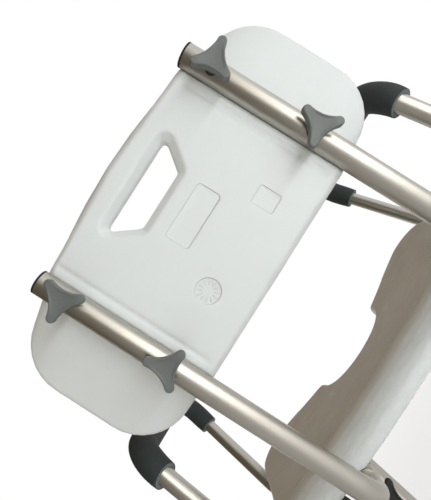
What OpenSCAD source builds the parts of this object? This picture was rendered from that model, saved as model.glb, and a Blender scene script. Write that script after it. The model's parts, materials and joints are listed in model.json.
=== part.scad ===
/* [Seat] */
// Height of the seat's top with the legs at their shortest
seat_h = 430; // [400:1:470]
// Width of the seat
seat_w = 504; // [480:1:540]
// Depth of the seat from its front bumps to its rear edge
seat_d = 322; // [310:1:350]
// Thickness of the hollow moulded seat
seat_t = 30; // [28:1:36]
// Distance from the middle of the chair to the seat's rear edge
seat_rear_y = 131.8; // [120:0.1:145]
// How far the rear edge rolls over, seen from above
rear_roll = 56; // [30:1:70]
// How far the rear corners lie ahead of the middle of the rear edge
rear_bow = 20; // [5:1:25]
// Width of the hygiene cut-out
cut_w = 132; // [100:1:150]
// Depth of the hygiene cut-out behind the sloping front edges
cut_d = 90; // [60:1:100]
// How far the front edges slope back from the bumps to the cut-out
front_slope = 60; // [40:1:70]

/* [Backrest] */
// Width of the backrest panel
panel_w = 452; // [430:1:470]
// Height of the backrest panel at its middle
panel_h = 203; // [195:1:225]
// Thickness of the panel
panel_t = 22; // [18:1:30]
// Radius of the panel's corners
panel_corner = 58; // [50:1:62]
// Radius of the bowed top edge
bow_r = 1000; // [800:1:1400]
// How far the wings at the panel's sides curve forward
wing_fwd = 28; // [20:1:32]
// How far the middle of the panel stands out between the tubes
plateau_h = 6; // [3:0.5:7]
// Distance along the tubes from the seat's top to the panel's lower edge
panel_lift = 160; // [140:1:200]
// Angle at which the backrest leans back
recline = 8; // [4:0.5:12]
// Width of the handle hole at its upper edge
hole_top_w = 112; // [100:1:130]
// Width of the handle hole at its lower edge
hole_low_w = 66; // [50:1:80]
// Height of the handle hole
hole_h = 30; // [26:1:34]
// Width of the grab bar above the handle hole
bar_h = 34; // [30:1:45]

/* [Tubes] */
// Diameter of the backrest tubes
back_tube_d = 25; // [22:0.5:26]
// Distance between the backrest tubes
back_spacing = 262; // [250:1:280]
// Distance from the seat's rear edge to the backrest tubes
back_gap = 42; // [36:1:60]
// Diameter of the arm tubes
arm_tube_d = 22; // [19:0.5:24]
// Wall of the bent tubes
tube_wall = 1.6; // [1.2:0.1:2]
// Wall of the rails and sockets
socket_wall = 1.4; // [1.2:0.1:2]
// Bend radius of the backrest tubes
back_bend = 38; // [34:1:42]
// Bend radius of the arm tubes
arm_bend = 38; // [34:1:39]

/* [Arms] */
// Height of the arm's top bar above the seat
arm_h = 187; // [170:1:210]
// Diameter of the foam grip
grip_d = 36; // [32:0.5:40]
// Length of grip below the rear corner of the arm
grip_rear = 42; // [41:1:70]
// Length of grip below the front corner of the arm
grip_front = 86; // [80:1:100]
// Angle at which the arm's front leg slants back
arm_slant = 22; // [15:1:26]
// Angle at which the arm leans in above the seat
arm_lean = 4; // [2:0.5:6]
// Gap between the seat's side and the arm tube
arm_gap = 4; // [3:0.5:10]

/* [Legs] */
// Outer diameter of the lower leg tubes
leg_d = 22.2; // [20:0.2:23]
// Length of the upper leg tubes
leg_upper_len = 236; // [225:1:245]
// Sideways splay of the legs
splay_side = 10; // [6:0.5:12]
// Fore and aft splay of the legs
splay_fore = 11; // [6:0.5:13]
// Distance between the height holes
hole_pitch = 25; // [22:0.5:25]
// Number of height holes
hole_count = 5; // [4:1:5]
// Radius of the rubber foot at the floor
foot_r = 22; // [20:0.5:26]
// Diameter of the spring button
button_d = 8; // [6:0.5:9]

/* [Knobs] */
// Radius of the backrest knobs over their lobes
knob_r = 22.5; // [20:0.5:26]
// Radius of the leg knobs over their lobes
leg_knob_r = 19; // [16:0.5:20]
// Thickness of the knob heads
knob_t = 8; // [7:0.5:10]
// Diameter of the knob studs
stud_d = 6; // [5:0.5:7]
// Height of the lower backrest knobs above the panel's lower edge
knob_low = 48; // [40:1:60]
// Distance from the panel's top to the upper backrest knobs
knob_top = 41; // [36:1:48]
// Angle to which the upper left backrest knob is turned
turn_upper_left = 6; // [0:1:120]
// Angle to which the upper right backrest knob is turned
turn_upper_right = 68; // [0:1:120]
// Angle to which the lower left backrest knob is turned
turn_lower_left = 43; // [0:1:120]
// Angle to which the lower right backrest knob is turned
turn_lower_right = 12; // [0:1:120]

/* [Hidden] */
$fn = 64;

// Sides: the sitter's left is +X and the chair faces -Y
LEFT = 1;
RIGHT = -1;
REAR = 1;
FRONT = -1;
SIDES = [LEFT, RIGHT];
ENDS = [REAR, FRONT];

// Clearances
fit = 0.1;      // sleeves and pieces that are fixed together
run = 0.3;      // pieces that move past each other
past = 1;       // how far a cut runs past the face it opens
lap = 0.5;      // how far a straight length of tube runs into a bend
swell = 0.12;   // how much a tube swells at a bend

// Colours
white = [0.93, 0.94, 0.94];
silver = [0.72, 0.72, 0.70];
grey = [0.45, 0.47, 0.47];
black = [0.10, 0.10, 0.11];
foam = [0.17, 0.19, 0.19];
rubber = [0.20, 0.20, 0.21];
steel = [0.62, 0.63, 0.65];
brass = [0.75, 0.62, 0.32];

// Seat
half_w = seat_w / 2;
seat_front_y = seat_rear_y - seat_d;
under_z = seat_h - seat_t;
corner_front = 47;
corner_rear = 55;
seat_taper = 6;
edge_in = 11;
edge_top = 18;
edge_low = seat_t - edge_top - past;
bump_x = half_w - corner_front;
mouth_y = seat_front_y + front_slope;
cut_y = mouth_y + cut_d;
cut_fillet = 16;
cut_r = cut_w / 2;
mouth_x = cut_r + cut_fillet;
rear_corner_x = half_w - seat_taper - corner_rear;
function rear_in(x) = rear_bow * pow(x / rear_corner_x, 2);
dish = 2.5;
dish_edge = 34;
dish_rear_in = 30;
dimple_r = 13;
dimple_tip_r = 5;
dimple_deep = 18;
dimple_pitch = 62;
drain_r = 7;
drain_deep = 2.6;

// Rails, cross tubes and sockets
rail_bore = back_tube_d + 2 * fit;
rail_d = rail_bore + 2 * socket_wall;
rail_sink = 6;
rail_x = back_spacing / 2;
rail_z = under_z - rail_d / 2 + rail_sink;
socket_bore = arm_tube_d + 2 * fit;
socket_d = socket_bore + 2 * socket_wall;
saddle_web = 3;
saddle_w = 32;
socket_z = rail_z - rail_d / 2 - saddle_web - socket_d / 2;
arm_rear_inset = 19;
arm_front_inset = 17;
socket_rear_y = seat_rear_y - arm_rear_inset;
cross_y = cut_y + socket_d / 2 + 20;
rail_rear_y = seat_rear_y - rear_bow + 8;
rail_bolt_y = rail_rear_y - 10;
plug_rim = 3;
plug_len = 8;

// Arms
arm_top_z = seat_h + arm_h;
arm_side_x = half_w + arm_gap + arm_tube_d / 2;
arm_front_y = seat_front_y + arm_front_inset;
function arm_x(z) = arm_side_x - (z - under_z) * tan(arm_lean);
function arm_y(z) = arm_front_y - (z - seat_h) * tan(arm_slant);
socket_front_y = arm_y(socket_z);
socket_mouth_x = arm_x(socket_z) - arm_bend * tan(45 + arm_lean) - 2;
socket_front_x = rail_x - saddle_w / 2 - plug_rim;
socket_rear_x = rail_x + 30;
arm_end_x = socket_rear_x + plug_len + 2;
block_x = socket_rear_x + 13;
block_w = 22;
block_out_x = block_x + block_w / 2;
block_fwd = 27;
block_aft = socket_d / 2 + saddle_web;
block_bolt_y = socket_rear_y - socket_d / 2 - 6;
block_low = socket_z - socket_d / 2 - saddle_web;
rail_front_y = socket_front_y - saddle_w / 2 + plug_rim;

// Bolts and screws
bolt_r = 3;
bolt_head_r = 5.5;
bolt_head_h = 4;
bolt_top = seat_h - 10;
saddle_rows = [cross_y, socket_front_y];
bolt_rows = [rail_bolt_y, cross_y, socket_front_y];
screw_r = 2.5;
screw_head_r = 4.5;
screw_head_h = 3;
screw_len = 10;
screw_share = 0.26595;  // how far the arm screws lie from the block toward the mouth
screw_room = socket_mouth_x - block_out_x - 2 * screw_head_r;
arm_screw_x = block_out_x + screw_head_r + screw_share * screw_room;

// Backrest
tube_y = seat_rear_y + back_gap;
tube_r = back_tube_d / 2;
panel_sink = 4;
panel_set = tube_r - panel_sink;
panel_rim = 9;
cap_h = 3.5;
tube_top = panel_lift + panel_h - 10.5;
knob_rows = [knob_low, panel_h - knob_top];
boss_r = 6.3;
tube_hole_r = 8.5;
insert_r = 5;
insert_len = 14;
knob_seat = tube_r + 6.5;
back_plug = 40;
plateau_under = 7;
groove_in = 17;
groove_r = 4;
groove_deep = 1.6;
groove_low = 16;
hole_corner = 3.5;
hole_flare = 8;
plateau_slope = 6;
plateau_low = 1;
plateau_top = 2;
plateau_x = rail_x - tube_r + plateau_under;

// Legs
leg_bore = leg_d + 2 * run;
leg_upper_wall = 1.2;
leg_upper_d = leg_bore + 2 * leg_upper_wall;
leg_wall = 1.5;
leg_rear_y = socket_rear_y - 41;
leg_front_y = socket_front_y + 56;
leg_top_z = rail_z - rail_d / 2 - 6;
leg_len = leg_top_z / (cos(splay_side) * cos(splay_fore));
first_hole = 90;
lower_top = first_hole - 32;
tube_end_up = 12;
sleeve_r = leg_upper_d / 2 + 1.6;
sleeve_up = 18;
knob_drop = 21;
sleeve_len = knob_drop + 16;
weld_drop = 8;
boss_out = 3;
collar_r = leg_upper_d / 2 + 2.2;
collar_len = 14;
collar_lip = 4;
foot_h = 38;
foot_neck_r = leg_d / 2 + 4;
button_hole_r = button_d / 2 + run;
button_out = leg_upper_d / 2 + 2.6;
button_in = leg_d / 2 - leg_wall - 4;
spring_t = 0.8;
spring_w = 7;
spring_len = 34;

// Bent tube maths
function unit(v) = v / norm(v);
function turn(u, w) = acos(u * w);
function across(u, w) = unit(w - (u * w) * u);
function trim(p, i, r) =
  let (u = unit(p[i] - p[i - 1]), w = unit(p[i + 1] - p[i])) r * tan(turn(u, w) / 2);
function is_corner(p, i) = i > 0 && i < len(p) - 1;
function side_of(d) = abs(d.z) < 0.9 ? unit(cross([0, 0, 1], d)) : unit(cross([0, 1, 0], d));

// Places children so that their X, Y and Z run along the given directions
module axes(at, x, y, z) {
  multmatrix([
    [x.x, y.x, z.x, at.x],
    [x.y, y.y, z.y, at.y],
    [x.z, y.z, z.z, at.z],
    [0, 0, 0, 1]
  ]) children();
}

// Round tube with a bore
module pipe(d, bore, h) {
  difference() {
    cylinder(d = d, h = h);
    translate([0, 0, -past]) cylinder(d = bore, h = h + 2 * past);
  }
}

// Straight rod from one point to another
module rod_between(a, b, d) {
  along = unit(b - a);
  aside = side_of(along);
  axes(a, aside, cross(along, aside), along) cylinder(d = d, h = norm(b - a));
}

// Rod that follows points, with a bend of one radius at each corner
module bent_rod(p, r, d) {
  for (i = [0 : len(p) - 2]) {
    along = unit(p[i + 1] - p[i]);
    from = is_corner(p, i) ? p[i] + along * (trim(p, i, r) - lap) : p[i];
    to = is_corner(p, i + 1) ? p[i + 1] - along * (trim(p, i + 1, r) - lap) : p[i + 1];
    rod_between(from, to, d);
  }
  for (i = [1 : len(p) - 2]) {
    u = unit(p[i] - p[i - 1]);
    w = unit(p[i + 1] - p[i]);
    n = across(u, w);
    axes(p[i] - u * trim(p, i, r) + n * r, -n, u, cross(u, n))
      rotate_extrude(angle = turn(u, w)) translate([r, 0]) circle(d = d + 2 * swell);
  }
}

// The same path, run on past both of its ends
function run_on(p) = [
  for (i = [0 : len(p) - 1])
    i == 0 ? p[0] + past * unit(p[0] - p[1]) :
    i == len(p) - 1 ? p[i] + past * unit(p[i] - p[i - 1]) : p[i]
];

// Tube that follows points
module bent_pipe(p, r, d, bore) {
  difference() {
    bent_rod(p, r, d);
    bent_rod(run_on(p), r, bore);
  }
}

// Rectangle with round corners
module round_rect(w, h, r) {
  square([w - 2 * r, h], center = true);
  square([w, h - 2 * r], center = true);
  for (x = [-1, 1], y = [-1, 1]) {
    translate([x * (w / 2 - r), y * (h / 2 - r)]) circle(r);
  }
}

// Outline with three round tips joined by hollow sides
module lobes(r, tip, waist) {
  arm = r - tip;
  hollow = (pow(arm, 2) - pow(tip - waist, 2)) / (arm + 2 * (tip - waist));
  hollow_r = hollow - waist;
  reach = atan2(hollow * sin(60), hollow * cos(60) - arm);
  steps = 12;
  function at(d, a) = d * [cos(a), sin(a)];
  function tip_point(i) = at(arm, 0) + at(tip, reach * (2 * i / steps - 1));
  function hollow_point(i) = at(hollow, 60) + at(hollow_r, 240 + (reach - 60) * (1 - 2 * i / steps));
  function turned(p, a) = [p.x * cos(a) - p.y * sin(a), p.x * sin(a) + p.y * cos(a)];
  polygon([
    for (a = [0, 120, 240], k = [0, 1], i = [0 : steps - 1])
      turned(k == 0 ? tip_point(i) : hollow_point(i), a)
  ]);
}

// Knob head with a dished top, its underside at z = 0
module knob_head(r) {
  tip = r * 0.2;
  dish_r = 3 * r;
  dish_deep = 1.6;
  difference() {
    linear_extrude(knob_t) lobes(r, tip, r * 0.45);
    translate([0, 0, knob_t + dish_r - dish_deep]) sphere(dish_r, $fn = 96);
  }
}

// Seat
module disc(at, r) {
  translate(at) cylinder(r = r, h = past);
}

// Hull of its children over the steps of the seat's rounded edges
module rounded() {
  hull($fn = 32) {
    for (a = [0 : 18 : 90]) {
      $z = seat_h - past - edge_top * (1 - cos(a));
      $in = edge_in * (1 - sin(a));
      $rear = seat_rear_y - rear_roll * (1 - sin(a)) + $in;
      children();
    }
    for (a = [0 : 30 : 90]) {
      $z = under_z + edge_low * (1 - cos(a));
      $in = edge_in * (1 - sin(a));
      $rear = seat_rear_y;
      children();
    }
  }
}

// Discs whose hull is one side of the seat, with its front bump and sloping front edge
module side_slice(side) {
  disc([side * bump_x, seat_front_y + corner_front, $z], corner_front - $in);
  disc([side * mouth_x, mouth_y + cut_fillet, $z], cut_fillet - $in);
  disc([side * mouth_x, $rear - rear_in(mouth_x) - cut_fillet, $z], cut_fillet - $in);
  disc([side * rear_corner_x, $rear - rear_bow - corner_rear, $z], corner_rear - $in);
}

// Discs whose hull is the middle of the seat, behind the cut-out
module middle_slice() {
  disc([0, $rear - cut_fillet, $z], cut_fillet - $in);
  for (s = SIDES, y = [cut_y - cut_r + cut_fillet, $rear - rear_in(mouth_x) - cut_fillet]) {
    disc([s * mouth_x, y, $z], cut_fillet - $in);
  }
}

module seat_block() {
  for (s = SIDES) rounded() side_slice(s);
  rounded() middle_slice();
}

// Round end of the cut-out, with the same rounded edges as the outline
module seat_cut() {
  function edge(a) = cut_r + edge_in * (1 - sin(a));
  low = [for (a = [0 : 15 : 90]) [edge(a), under_z + edge_low * (1 - cos(a))]];
  top = [for (a = [90 : -15 : 0]) [edge(a), seat_h - edge_top * (1 - cos(a))]];
  translate([0, cut_y - cut_r]) rotate_extrude() polygon(concat(
    [[0, under_z - past], [cut_r + edge_in, under_z - past]],
    low, top,
    [[cut_r + edge_in, seat_h + past], [0, seat_h + past]]
  ));
}

// Shallow dish that the sitter sits in
module seat_dish() {
  x = half_w - corner_front - dish_edge;
  corners = [
    [x, seat_front_y + corner_front + dish_edge / 2],
    [x - dish_rear_in, seat_rear_y - rear_roll - rear_bow / 2 - dish_edge]
  ];
  hull($fn = 32) {
    for (s = SIDES, p = corners) {
      translate([s * p.x, p.y, seat_h - dish]) cylinder(r = dish_edge / 2, h = dish);
      disc([s * p.x, p.y, seat_h], dish_edge);
    }
  }
}

// Cone-shaped hollows that tie the moulding's two skins together
module seat_dimples() {
  row_x = [rail_x - dimple_pitch, rail_x + dimple_pitch];
  for (s = SIDES, x = row_x, y = [cut_y + dimple_pitch / 2 : dimple_pitch : seat_rear_y - rear_roll]) {
    translate([s * x, y, under_z - past])
      cylinder(r1 = dimple_r, r2 = dimple_tip_r, h = dimple_deep + past, $fn = 32);
  }
}

// Shallow round hollows in the seat's top that water runs into
module seat_drains() {
  ball = (pow(drain_r, 2) + pow(drain_deep, 2)) / (2 * drain_deep);
  places = [[0, 65], [75, 0], [77, 97], [132, -55]];
  for (s = SIDES, p = places) {
    translate([s * p.x, cut_y + p.y, seat_h - dish + ball - drain_deep]) sphere(ball, $fn = 32);
  }
}

module seat() {
  color(white) difference() {
    seat_block();
    seat_cut();
    seat_dish();
    seat_dimples();
    seat_drains();
    for (s = SIDES) {
      translate([s * rail_x, seat_rear_y + past, rail_z]) rotate([90, 0, 0])
        cylinder(d = rail_d + 2 * fit, h = seat_rear_y + past - rail_front_y + plug_rim + fit);
    }
    at_rows(bolt_rows) cylinder(r = bolt_r, h = bolt_top - socket_z);
    for (s = SIDES) {
      translate([s * block_x, block_bolt_y, block_low]) cylinder(r = bolt_r, h = bolt_top - block_low);
    }
  }
}

// Rails, cross tube and sockets
module at_rows(rows) {
  for (s = SIDES, y = rows) translate([s * rail_x, y, socket_z]) children();
}

module rail(side) {
  color(silver) difference() {
    translate([side * rail_x, rail_rear_y, rail_z]) rotate([90, 0, 0])
      pipe(rail_d, rail_bore, rail_rear_y - rail_front_y);
    at_rows(bolt_rows) cylinder(r = bolt_r + fit, h = 2 * seat_t);
  }
}

module level_tube(y, x0, x1) {
  difference() {
    translate([x0, y, socket_z]) rotate([0, 90, 0]) pipe(socket_d, socket_bore, x1 - x0);
    at_rows(saddle_rows) translate([0, 0, -socket_d]) cylinder(r = bolt_r + fit, h = 2 * socket_d);
    for (s = SIDES) {
      translate([s * arm_screw_x, y, socket_z - socket_d]) cylinder(r = screw_r + fit, h = socket_d);
    }
  }
}

module cross_tube() {
  end = rail_x + saddle_w / 2 + plug_rim;
  color(silver) level_tube(cross_y, -end, end);
}

module arm_socket(side, end) {
  inner = end == REAR ? socket_rear_x : socket_front_x;
  y = end == REAR ? socket_rear_y : socket_front_y;
  reach = side * [inner, socket_mouth_x];
  color(silver) level_tube(y, min(reach), max(reach));
}

// Moulded blocks that hold the cross tube and the front sockets under the rails
module tube_saddles() {
  h = rail_z - socket_z;
  color(black) {
    at_rows(saddle_rows) difference() {
      translate([-saddle_w / 2, -saddle_w / 2, 0]) cube([saddle_w, saddle_w, h]);
      translate([0, saddle_w, h]) rotate([90, 0, 0]) cylinder(d = rail_d + 2 * fit, h = 2 * saddle_w);
      translate([-saddle_w, 0, 0]) rotate([0, 90, 0]) cylinder(d = socket_d + 2 * fit, h = 2 * saddle_w);
      cylinder(r = bolt_r + fit, h = h);
    }
    for (s = SIDES) socket_block(s);
  }
}

// Moulded block that holds a rear socket under the seat
module socket_block(side) {
  translate([side * block_x, 0, 0]) difference() {
    translate([-block_w / 2, socket_rear_y - block_fwd, block_low])
      cube([block_w, block_fwd + block_aft, under_z - block_low]);
    translate([-block_w, socket_rear_y, socket_z]) rotate([0, 90, 0])
      cylinder(d = socket_d + 2 * fit, h = 2 * block_w);
    translate([0, block_bolt_y, block_low]) cylinder(r = bolt_r + fit, h = 2 * seat_t);
  }
}

// Bolt whose head is under a face at height z
module bolt(z) {
  translate([0, 0, z - bolt_head_h]) {
    cylinder(r = bolt_head_r, h = bolt_head_h);
    cylinder(r = bolt_r - fit / 2, h = bolt_top - z + bolt_head_h - past);
  }
}

module seat_bolts() {
  color(steel) for (s = SIDES) {
    translate([s * rail_x, rail_bolt_y, 0]) bolt(rail_z - rail_d / 2);
    for (y = saddle_rows) translate([s * rail_x, y, 0]) bolt(socket_z - socket_d / 2);
    translate([s * block_x, block_bolt_y, 0]) bolt(block_low);
  }
}

// Push-in end plug: a rim outside the tube and a stem inside it
module plug(d, bore) {
  translate([0, 0, -plug_len]) cylinder(d = bore - 2 * fit, h = plug_len);
  cylinder(d1 = d, d2 = d - 2, h = plug_rim);
}

module tube_plugs() {
  end = rail_x + saddle_w / 2 + plug_rim;
  color(black) for (s = SIDES) {
    translate([s * rail_x, rail_front_y, rail_z]) rotate([90, 0, 0]) plug(rail_d, rail_bore);
    translate([s * end, cross_y, socket_z]) rotate([0, s * 90, 0]) plug(socket_d, socket_bore);
    for (p = [[socket_front_x, socket_front_y], [socket_rear_x, socket_rear_y]]) {
      translate([s * p.x, p.y, socket_z]) rotate([0, -s * 90, 0]) plug(socket_d, socket_bore);
    }
  }
}

// Arms
function arm_path(s) = [
  [s * arm_end_x, socket_rear_y, socket_z],
  [s * arm_x(socket_z), socket_rear_y, socket_z],
  [s * arm_x(arm_top_z), socket_rear_y, arm_top_z],
  [s * arm_x(arm_top_z), arm_y(arm_top_z), arm_top_z],
  [s * arm_x(socket_z), socket_front_y, socket_z],
  [s * arm_end_x, socket_front_y, socket_z]
];

// Point on the way from a to b, at a distance from a
function toward(a, b, d) = a + d * unit(b - a);

module arm_tube(side) {
  color(silver) difference() {
    bent_pipe(arm_path(side), arm_bend, arm_tube_d, arm_tube_d - 2 * tube_wall);
    at_arm_screws() cylinder(r = screw_r + fit, h = screw_len + 2 * screw_head_h);
  }
}

module arm_grip(side) {
  p = arm_path(side);
  ends = [toward(p[2], p[1], grip_rear), toward(p[3], p[4], grip_front)];
  color(foam) bent_pipe([ends[0], p[2], p[3], ends[1]], arm_bend, grip_d, arm_tube_d + 2 * fit);
}

module at_arm_screws() {
  for (s = SIDES, y = [socket_rear_y, socket_front_y]) {
    translate([s * arm_screw_x, y, socket_z - socket_d / 2 - screw_head_h]) children();
  }
}

module arm_screws() {
  color(steel) at_arm_screws() {
    cylinder(r = screw_head_r, h = screw_head_h);
    cylinder(r = screw_r, h = screw_head_h + screw_len);
  }
}

// Backrest: its own frame has Z up along the tubes and Y to the rear
module back_frame() {
  translate([0, tube_y, seat_h]) rotate([-recline, 0, 0]) children();
}

// Panel frame: X across, Y up from the lower edge, Z forward from the rear face
module panel_frame() {
  back_frame() translate([0, -panel_set, panel_lift]) rotate([90, 0, 0]) children();
}

function back_point(z) = [0, tube_y + z * sin(recline), seat_h + z * cos(recline)];

module back_tube(side) {
  out = [side * rail_x, 0, 0];
  foot_y = tube_y - (seat_h - rail_z) * tan(recline);
  path = [
    out + back_point(tube_top),
    out + [0, foot_y, rail_z],
    out + [0, rail_rear_y - back_plug, rail_z]
  ];
  color(silver) difference() {
    bent_pipe(path, back_bend, back_tube_d, back_tube_d - 2 * tube_wall);
    at_back_knobs(side) {
      translate([0, 0, -2 * tube_r]) cylinder(d = stud_d + 2 * run, h = 4 * tube_r);
      cylinder(r = tube_hole_r, h = 2 * tube_r);
    }
    at_rows(bolt_rows) cylinder(r = bolt_r + fit, h = 2 * seat_t);
  }
}

// Places children at the knobs of one tube, with Z to the rear from the tube's axis
module at_back_knobs(side) {
  for (v = knob_rows) at_back_knob(side, v) children();
}

module at_back_knob(side, v) {
  back_frame() translate([side * rail_x, 0, panel_lift + v]) rotate([-90, 0, 0]) children();
}

// Domed caps with ribbed rims
module back_caps() {
  rib_count = 36;
  rib_r = 0.5;
  dome_r = 60;
  color(black) for (s = SIDES) {
    back_frame() translate([s * rail_x, 0, tube_top]) {
      translate([0, 0, -plug_len]) cylinder(d = back_tube_d - 2 * tube_wall - 2 * fit, h = plug_len);
      intersection() {
        translate([0, 0, cap_h - dome_r]) sphere(dome_r, $fn = 96);
        linear_extrude(cap_h) {
          circle(tube_r - rib_r);
          for (i = [0 : rib_count - 1]) {
            rotate(i * 360 / rib_count) translate([tube_r - rib_r, 0]) circle(rib_r, $fn = 16);
          }
        }
      }
    }
  }
}

// Discs whose hull is the panel's outline, drawn in by an inset
module panel_slice(z, in) {
  corner_x = panel_w / 2 - panel_corner;
  reach = bow_r - panel_corner;
  swing = asin(corner_x / reach);
  for (a = [-1 : 0.25 : 1]) {
    fwd = z + wing_fwd * a * a;
    top_y = panel_h - bow_r + reach * cos(a * swing);
    translate([corner_x * a, panel_corner, fwd]) cylinder(r = panel_corner - in, h = past);
    translate([reach * sin(a * swing), top_y, fwd]) cylinder(r = panel_corner - in, h = past);
  }
}

module panel_block() {
  hull($fn = 32) {
    for (a = [0 : 22.5 : 90]) {
      panel_slice(panel_rim * (1 - cos(a)) * 0.6, panel_rim * (1 - sin(a)));
      panel_slice(panel_t - past - panel_rim * (1 - cos(a)), panel_rim * (1 - sin(a)));
    }
  }
}

// Round hollow of the panel's front, which the sitter leans in
module panel_hollow() {
  r = pow(panel_w / 2, 2) / (2 * wing_fwd);
  translate([0, -past, panel_t + r]) rotate([-90, 0, 0]) cylinder(r = r, h = panel_h + 2 * past, $fn = 256);
}

// Raised middle of the panel between the tubes
module panel_plateau() {
  hull($fn = 32) {
    for (k = [0, 1]) {
      in = plateau_slope * (1 + k);
      x = plateau_x - in;
      top_y = panel_h - plateau_top - in;
      sag = pow(x, 2) / (2 * bow_r);
      for (p = [[x, plateau_low + in], [x, top_y - sag], [0, top_y]], s = SIDES) {
        translate([s * p.x, p.y, -k * plateau_h]) cylinder(r = plateau_slope, h = panel_t / 2);
      }
    }
  }
}

// Shallow grooves that set off the middle of the panel from the lips beside the tubes
module panel_grooves() {
  for (s = SIDES) {
    translate([s * (plateau_x - groove_in), groove_low, groove_deep - groove_r - plateau_h]) {
      sphere(groove_r);
      rotate([-90, 0, 0]) cylinder(r = groove_r, h = panel_h);
    }
  }
}

// Corner discs of the handle hole
module hole_corners(z, grow, h) {
  r = hole_corner;
  slant = atan2(hole_h, (hole_top_w - hole_low_w) / 2);
  top_y = panel_h - bar_h - r;
  low_y = panel_h - bar_h - hole_h + r;
  for (s = SIDES) {
    translate([s * (hole_top_w / 2 - r / tan(slant / 2)), top_y, z]) cylinder(r = r + grow, h = h);
    translate([s * (hole_low_w / 2 - r * tan(slant / 2)), low_y, z]) cylinder(r = r + grow, h = h);
  }
}

module handle_hole() {
  hull($fn = 32) hole_corners(-plateau_h - past, 0, panel_t + plateau_h + wing_fwd);
  hull($fn = 32) {
    hole_corners(-plateau_h - past, hole_flare, past);
    hole_corners(hole_flare - plateau_h, 0, past);
  }
  hull($fn = 32) {
    hole_corners(panel_t, hole_flare, wing_fwd);
    hole_corners(panel_t - hole_flare, 0, past);
  }
}

// Shallow moulded recesses: a plate, a small square and a round
module panel_recesses() {
  deep = 0.8;
  plate = [62, 26];
  square_w = [20, 24];
  round_r = 13;
  translate([0, 0, -plateau_h - past]) linear_extrude(past + deep) {
    translate([-3, panel_h / 2]) round_rect(plate.x, plate.y, 4);
    translate([-hole_low_w + 11, panel_h / 4]) round_rect(square_w.x, square_w.y, 2);
    translate([hole_low_w - 15, panel_h / 4]) circle(round_r);
  }
}

module back_panel() {
  color(white) difference() {
    panel_frame() difference() {
      union() {
        panel_block();
        panel_plateau();
      }
      panel_hollow();
      handle_hole();
      panel_recesses();
      panel_grooves();
      for (s = SIDES) {
        translate([s * rail_x, -past, -panel_set]) rotate([-90, 0, 0])
          cylinder(r = tube_r + fit, h = panel_h + 2 * past);
      }
    }
    for (s = SIDES) {
      at_back_knobs(s) translate([0, 0, -tube_r - insert_len])
        cylinder(r = insert_r, h = insert_len + panel_sink);
    }
  }
}

module panel_inserts() {
  color(brass) for (s = SIDES) {
    at_back_knobs(s) translate([0, 0, -tube_r - insert_len]) {
      difference() {
        cylinder(r = insert_r, h = insert_len - fit);
        translate([0, 0, 2]) cylinder(d = stud_d + 2 * fit, h = insert_len);
      }
    }
  }
}

// Knob head on a boss that goes through the tube's rear hole
module back_knob(side, v, turned) {
  boss_end = run - sqrt(pow(tube_r - tube_wall, 2) - pow(boss_r, 2));
  color(grey) at_back_knob(side, v) difference() {
    union() {
      translate([0, 0, knob_seat]) rotate(turned) knob_head(knob_r);
      translate([0, 0, boss_end]) cylinder(r = boss_r, h = knob_seat - boss_end + past);
    }
    translate([0, 0, boss_end - past]) cylinder(d = stud_d, h = past - boss_end + knob_seat);
  }
}

module back_stud(side, v) {
  end = -tube_r - insert_len + 4;
  color(steel) at_back_knob(side, v) translate([0, 0, end]) cylinder(d = stud_d, h = knob_seat - end);
}

// Legs: each leg's own frame has Z up along the leg and Y fore and aft
module leg_frame(side, end) {
  leg_y = end == REAR ? leg_rear_y : leg_front_y;
  translate([side * rail_x, leg_y, leg_top_z]) rotate([end * splay_fore, -side * splay_side, 0]) children();
}

// Places children with Z out of the leg's outer face, at a distance below its top
module leg_face(side, end, drop) {
  leg_frame(side, end) translate([0, 0, -drop]) rotate([-end * 90, 0, 0]) children();
}

// Sleeves welded under the rails, each with a boss for a knob
module leg_sockets() {
  color(silver) for (s = SIDES, e = ENDS) {
    difference() {
      union() {
        leg_frame(s, e) translate([0, 0, -sleeve_len]) cylinder(r = sleeve_r, h = sleeve_len + sleeve_up);
        leg_face(s, e, knob_drop) cylinder(d = 3 * stud_d, h = sleeve_r + boss_out);
      }
      leg_frame(s, e) translate([0, 0, -sleeve_len - past])
        cylinder(d = leg_upper_d + 2 * fit, h = sleeve_len + past + fit);
      rail_cut(s);
      translate([-seat_w, -seat_d, rail_z - weld_drop]) cube([2 * seat_w, 2 * seat_d, 2 * seat_t]);
      leg_face(s, e, knob_drop) cylinder(d = stud_d + 2 * run, h = 3 * sleeve_r);
    }
  }
}

module rail_cut(side) {
  translate([side * rail_x, seat_rear_y, rail_z]) rotate([90, 0, 0])
    cylinder(d = rail_d + 2 * fit, h = 2 * seat_d);
}

module leg_upper(side, end) {
  color(silver) difference() {
    leg_frame(side, end) translate([0, 0, -leg_upper_len]) pipe(leg_upper_d, leg_bore, leg_upper_len);
    leg_face(side, end, knob_drop) cylinder(d = stud_d + 2 * run, h = leg_upper_d);
    for (i = [0 : hole_count - 1]) {
      leg_face(side, end, first_hole + i * hole_pitch) cylinder(r = button_hole_r, h = leg_upper_d);
    }
  }
}

module leg_collars() {
  color(black) for (s = SIDES, e = ENDS) {
    leg_frame(s, e) translate([0, 0, -leg_upper_len - collar_lip]) difference() {
      cylinder(r = collar_r, h = collar_len);
      translate([0, 0, -past]) cylinder(d = leg_bore, h = collar_len + 2 * past);
      translate([0, 0, collar_lip]) cylinder(d = leg_upper_d + 2 * fit, h = collar_len);
    }
  }
}

module leg_lower(side, end) {
  tube_end = leg_len - tube_end_up;
  color(silver) difference() {
    leg_frame(side, end) translate([0, 0, -tube_end])
      pipe(leg_d, leg_d - 2 * leg_wall, tube_end - lower_top);
    leg_face(side, end, first_hole) cylinder(r = button_hole_r, h = leg_d);
  }
}

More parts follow.
